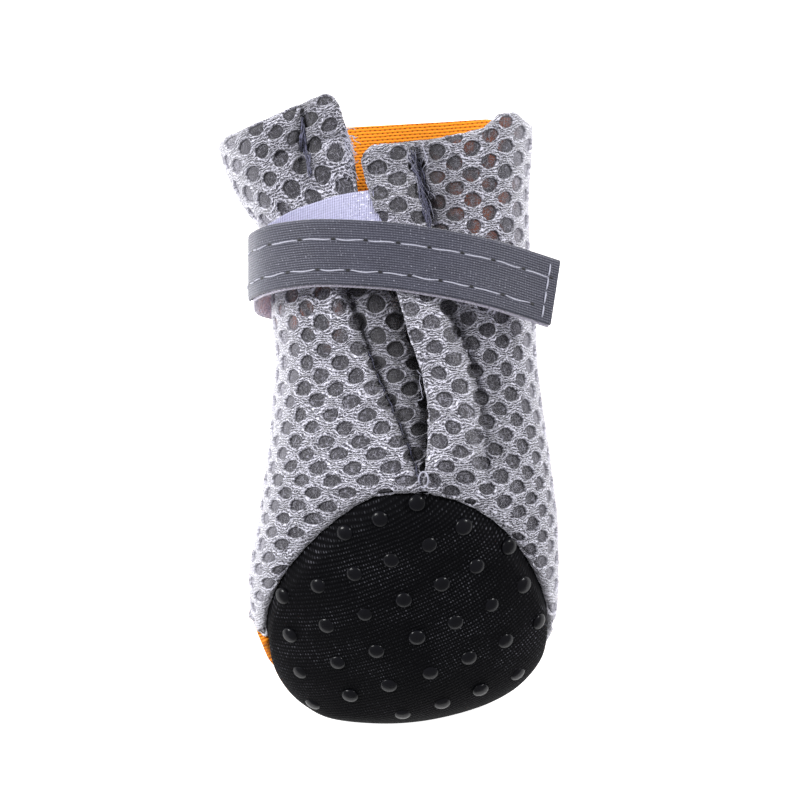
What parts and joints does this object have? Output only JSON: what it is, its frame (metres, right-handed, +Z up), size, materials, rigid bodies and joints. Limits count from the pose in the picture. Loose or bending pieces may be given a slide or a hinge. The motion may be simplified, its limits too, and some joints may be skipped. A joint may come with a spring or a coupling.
{
  "type": "dog boot",
  "caption": "Slack dog sock boot lying on its front: mesh upper with a slit back and orange knit front, domed black grip sole, and a hook-and-loop webbing strap.",
  "frame": {"origin": "on the floor, under the middle of the boot's bounding box as it lies on its front", "axes": "+Y runs from the toe to the collar, +Z is up from the floor, +X points across the paw to the side where the strap's free end is"},
  "size_m": [0.0552, 0.1008, 0.0303],
  "materials": {
    "spacer_mesh": "thick light grey two-faced polyester mesh, open holes over a darker inner face",
    "sole_knit": "black ribbed knit printed with glossy rubber dots",
    "webbing": "dark grey reflective ribbed elastic webbing",
    "hook_tape": "pale lilac hook tape",
    "loop_tape": "pale lilac brushed loop tape"
  },
  "bodies": {
    "root": {"upper": "spacer_mesh", "sole": "sole_knit", "strap_webbing": "webbing", "strap_hook_tape": "hook_tape", "loop_tape": "loop_tape"}
  },
  "joints": []
}
